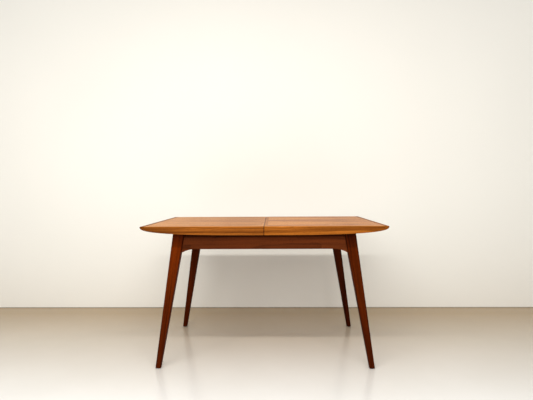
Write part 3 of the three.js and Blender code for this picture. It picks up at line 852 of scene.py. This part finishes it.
class TABLE_OT_bearers(bpy.types.Operator):
    """Finish the bearers under the stored leaf, its stop strip and the corner blocks"""

    bl_idname = "table.bearers"
    bl_label = "Bearers and corner blocks"

    def execute(self, context):
        sizes = context.scene.table_sizes
        across = beech(context, "along y", ALONG_Y)
        for node in ("left_leaf_bearer", "middle_leaf_bearer", "right_leaf_bearer", "leaf_stop_strip"):
            batten(node, sizes.batten_arris, across)
        low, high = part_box("leaf_stop_strip")
        spots = [(((low.x + high.x) / 2, y, high.z), UP) for y in STOP_STRIP_SCREWS]
        screws("stop_strip_screws", "frame", spots, sizes.screw_head, bare_steel(context))
        for end, depth in ENDS.items():
            for side, sign in SIDES.items():
                diagonal = (0.0, 0.0, sign * depth * math.pi / 4)
                slant = beech(context, "rising" if sign * depth > 0 else "falling", diagonal)
                batten(f"{end}_{side}_corner_block", sizes.batten_arris, slant)
        return {"FINISHED"}


class TABLE_OT_leaf(bpy.types.Operator):
    """Finish the loose leaf that lies in the frame"""

    bl_idname = "table.leaf"
    bl_label = "Leaf"

    def execute(self, context):
        sizes, finishes = context.scene.table_sizes, context.scene.table_finishes
        panel = wood(
            "teak leaf", finishes.top_dark, finishes.top_light, grain=ALONG_Y, tilt=(0.0, 0.012, 0.006),
            pith=(0.2, 0.1, -0.9), spacing=12.1 * MM, figure=0.55, contrast=0.9, sheen=0.4,
            gloss=finishes.lacquer
        )
        edge = wood(
            "teak leaf edge", *edge_tones(finishes, "right"), grain=ALONG_Y, tilt=(0.0, 0.01, 0.0),
            pith=(0.0, 0.5, -0.8), spacing=9.2 * MM, figure=0.5, sheen=0.4, gloss=finishes.oil
        )
        board("leaf_panel", "wood", sizes.joint_arris, panel, segments=2)
        for name in ("inner", "outer"):
            board(f"leaf_{name}_edge", "wood", sizes.joint_arris * 2, edge, segments=2)
            batten(f"leaf_{name}_peg", PEG_ARRIS, beech(context, "along y", ALONG_Y), segments=1)
        return {"FINISHED"}


class TABLE_OT_sliding_bolts(bpy.types.Operator):
    """Finish the sliding bolts that lock the halves, with their barrels and keepers"""

    bl_idname = "table.sliding_bolts"
    bl_label = "Sliding bolts"

    def execute(self, context):
        sizes = context.scene.table_sizes
        metal = bare_steel(context)
        for end in ENDS:
            for kind in ("sliding_bolt", "bolt_barrel", "bolt_keeper"):
                board(f"{end}_{kind}", "metal", sizes.metal_arris, metal, segments=2)
        inset_x, inset_y = PLATE_SCREW_INSET
        for side, kind in (("left", "barrel"), ("right", "keeper")):
            spots = []
            for end in ENDS:
                low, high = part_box(f"{end}_bolt_{kind}")
                for x in (low.x + inset_x, high.x - inset_x):
                    for y in (low.y + inset_y, high.y - inset_y):
                        spots.append(((x, y, high.z - PLATE_THICKNESS), DOWN))
            screws(f"{side}_{kind}_screws", f"top_{side}", spots, PLATE_SCREW, metal)
        return {"FINISHED"}


def threaded_rod(name, start, finish, radius, pitch, material):
    """A rod with a turned thread along it, made by spinning its toothed outline."""
    along, tip, root = finish - start, radius * 0.8, radius * 0.86
    bm = bmesh.new()
    points = [(0.0, 0.0), (tip, 0.0)]
    for turn in range(int(along.length / pitch)):
        points += [(radius, (turn + 0.5) * pitch), (root, (turn + 1.0) * pitch)]
    points += [(tip, along.length), (0.0, along.length)]
    verts = [bm.verts.new((r, 0.0, z)) for r, z in points]
    edges = [bm.edges.new(pair) for pair in zip(verts, verts[1:])]
    bmesh.ops.spin(
        bm, geom=verts + edges, cent=(0, 0, 0), axis=(0, 0, 1), angle=2 * math.pi, steps=20, use_merge=True
    )
    bmesh.ops.remove_doubles(bm, verts=bm.verts, dist=0.001 * MM)
    bmesh.ops.recalc_face_normals(bm, faces=bm.faces)
    bmesh.ops.transform(bm, matrix=Matrix.Translation(start) @ facing(along), verts=bm.verts)
    return finish_piece(bm, name, "frame", material)


class TABLE_OT_leg_fixings(bpy.types.Operator):
    """Finish the bolts and nuts that draw the legs in, and the glides under the feet"""

    bl_idname = "table.leg_fixings"
    bl_label = "Leg fixings and glides"

    def execute(self, context):
        sizes, finishes = context.scene.table_sizes, context.scene.table_finishes
        metal = bare_steel(context)
        nylon = material_once("moulded nylon", moulded, finishes.nylon)
        reach = LEG_BOLT_RADIUS / math.sqrt(2)
        for end, depth in ENDS.items():
            for side, sign in SIDES.items():
                name = f"{end}_{side}"
                low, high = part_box(f"{name}_leg_bolt")
                z = (low.z + high.z) / 2
                near_x, far_x = sorted((abs(low.x), abs(high.x)))
                near_y, far_y = sorted((abs(low.y), abs(high.y)))
                start = Vector((sign * (near_x + reach), depth * (near_y + reach), z))
                finish = Vector((sign * (far_x - reach), depth * (far_y - reach), z))
                rod = threaded_rod(
                    f"{name}_leg_bolt_metal", start, finish, LEG_BOLT_RADIUS, sizes.thread_pitch, metal
                )
                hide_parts(f"{name}_leg_bolt")
                board(f"{name}_leg_nut", "metal", sizes.metal_arris, metal, segments=2)
                board(f"{name}_glide", "nylon", GLIDE_ARRIS, nylon)
        return {"FINISHED"}


# ---- Stage ----


def sheet(name, corners, material):
    """A flat part of the stage."""
    bm = bmesh.new()
    bm.faces.new([bm.verts.new(c) for c in corners])
    mesh = bpy.data.meshes.new(name)
    bm.to_mesh(mesh)
    bm.free()
    mesh.materials.append(material)
    made = bpy.data.objects.new(name, mesh)
    bpy.context.scene.collection.objects.link(made)


def sealed_floor(name, near, far_shaded):
    """Pale sealed floor that mirrors softly, with faint clouding, and painted shade that turns it darker and
    warmer by the wall.
    """
    material, tree, shader = new_material(name)
    coordinates = object_coordinates(tree)
    clouds = noise(tree, coordinates, 1.4, 4.0, 0.55)
    wall_shade = spread(tree, axes_of(tree, coordinates)["Y"], *FLOOR_SHADE_TURNS)
    base = mix_colour(tree, "MIX", wall_shade, near, far_shaded)
    tone = darkened(tree, base, spread(tree, clouds, 0.3, 0.7, 0.6, 0.0), CLOUD_TINT)
    tree.links.new(tone, shader.inputs["Base Color"])
    tree.links.new(spread(tree, clouds, 0.3, 0.7, 0.16, 0.26), shader.inputs["Roughness"])
    return material


def painted_wall(name, base):
    """Painted plaster that only shows its face: seen from behind it is clear, so nothing hides the table."""
    material, tree, shader = new_material(name)
    coordinates = object_coordinates(tree)
    clouds = noise(tree, coordinates, 1.1, 3.0, 0.5)
    tone = mix_colour(tree, "MIX", spread(tree, clouds, 0.3, 0.7), scaled(base, 0.98), base)
    height = axes_of(tree, coordinates)["Z"]
    # painted shade of the gap at the foot of the wall
    tone = darkened(tree, tone, spread(tree, height, 0.7 * SEAM, SEAM, 0.7, 0.0), SEAM_SHADE_TINT)
    tree.links.new(tone, shader.inputs["Base Color"])
    shader.inputs["Roughness"].default_value = 0.85
    bumped(tree, shader, noise(tree, coordinates, 30.0), 0.3, 1 * MM)
    clear = tree.nodes.new("ShaderNodeBsdfTransparent")
    behind = tree.nodes.new("ShaderNodeNewGeometry").outputs["Backfacing"]
    both = add_node(tree, "ShaderNodeMixShader", links={"Fac": behind})
    tree.links.new(shader.outputs["BSDF"], both.inputs[1])
    tree.links.new(clear.outputs["BSDF"], both.inputs[2])
    tree.links.new(both.outputs["Shader"], tree.nodes["Material Output"].inputs["Surface"])
    return material


def softbox(name, place, target, size, power, tint):
    """A large rectangular light aimed at a point."""
    data = bpy.data.lights.new(name, "AREA")
    data.shape = "RECTANGLE"
    data.size, data.size_y = size
    data.energy = power
    data.color = tint
    light = bpy.data.objects.new(name, data)
    light.location = place
    light.visible_camera = False
    light.rotation_euler = (Vector(target) - Vector(place)).to_track_quat("-Z", "Y").to_euler()
    bpy.context.scene.collection.objects.link(light)


class TABLE_OT_stage(bpy.types.Operator):
    """Set up the floor, the wall, the light and the camera"""

    bl_idname = "table.stage"
    bl_label = "Stage"

    def execute(self, context):
        scene = context.scene
        stage = scene.stage_settings
        left, right, back, top = -STAGE_REACH, STAGE_REACH, stage.wall_place, WALL_HEIGHT
        sheet(
            "floor",
            [(left, left, 0), (right, left, 0), (right, right, 0), (left, right, 0)],
            sealed_floor("sealed floor", stage.floor_near, stage.floor_shaded),
        )
        sheet(
            "wall",
            [(left, back, 0), (right, back, 0), (right, back, top), (left, back, top)],
            painted_wall("painted wall", stage.wall),
        )

        softbox(
            "key softbox", place=(-0.3, -1.67, 2.45), target=(-0.3, -1.12, 0.0), size=(2.7, 0.1),
            power=stage.key_power, tint=LAMP_TINT
        )
        softbox(
            "fill softbox", place=(-0.4, -4.2, 2.2), target=(0.0, 0.4, 1.1), size=(3.2, 1.2),
            power=stage.fill_power, tint=WINDOW_TINT
        )
        world = bpy.data.worlds.new("even light")
        world.use_nodes = True
        background = world.node_tree.nodes["Background"]
        background.inputs["Color"].default_value = SKY_TINT
        background.inputs["Strength"].default_value = stage.sky
        scene.world = world
        scene.view_settings.view_transform = "Standard"

        data = bpy.data.cameras.new("camera")
        data.sensor_width = 36.0
        data.lens = stage.lens
        camera = bpy.data.objects.new("camera", data)
        pitch, roll, yaw = stage.camera_turn
        camera.matrix_world = (
            Matrix.Translation(stage.camera_place)
            @ Matrix.Rotation(yaw, 4, "Z")
            @ Matrix.Rotation(math.pi / 2 + pitch, 4, "X")
            @ Matrix.Rotation(roll, 4, "Z")
        )
        scene.collection.objects.link(camera)
        scene.camera = camera
        return {"FINISHED"}


# ---- Panel and registration ----

STEPS = (
    TABLE_OT_top_panels,
    TABLE_OT_edge_boards,
    TABLE_OT_end_nosings,
    TABLE_OT_joint_edges,
    TABLE_OT_legs,
    TABLE_OT_aprons,
    TABLE_OT_runners,
    TABLE_OT_bearers,
    TABLE_OT_leaf,
    TABLE_OT_sliding_bolts,
    TABLE_OT_leg_fixings,
    TABLE_OT_stage,
)


class TABLE_PT_build(bpy.types.Panel):
    """Lists the settings and the steps that build the table"""

    bl_idname = "TABLE_PT_build"
    bl_label = "Table"
    bl_space_type = "VIEW_3D"
    bl_region_type = "UI"
    bl_category = "Table"

    def draw(self, context):
        for group in (context.scene.table_sizes, context.scene.table_finishes, context.scene.stage_settings):
            box = self.layout.box()
            for name in group.bl_rna.properties.keys():
                if name not in ("rna_type", "name"):
                    box.prop(group, name)
        column = self.layout.column(align=True)
        for step in STEPS:
            column.operator(step.bl_idname)


CLASSES = (TableSizes, TableFinishes, StageSettings, *STEPS, TABLE_PT_build)


def register():
    """Adds the classes and the three groups of settings."""
    for cls in CLASSES:
        bpy.utils.register_class(cls)
    bpy.types.Scene.table_sizes = bpy.props.PointerProperty(type=TableSizes)
    bpy.types.Scene.table_finishes = bpy.props.PointerProperty(type=TableFinishes)
    bpy.types.Scene.stage_settings = bpy.props.PointerProperty(type=StageSettings)


def unregister():
    """Takes away what register added, in the opposite order."""
    del bpy.types.Scene.stage_settings
    del bpy.types.Scene.table_finishes
    del bpy.types.Scene.table_sizes
    for cls in reversed(CLASSES):
        bpy.utils.unregister_class(cls)


def main():
    """Registers the add-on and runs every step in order."""
    register()
    for step in STEPS:
        group, name = step.bl_idname.split(".")
        getattr(getattr(bpy.ops, group), name)()


if __name__ == "__main__":
    main()
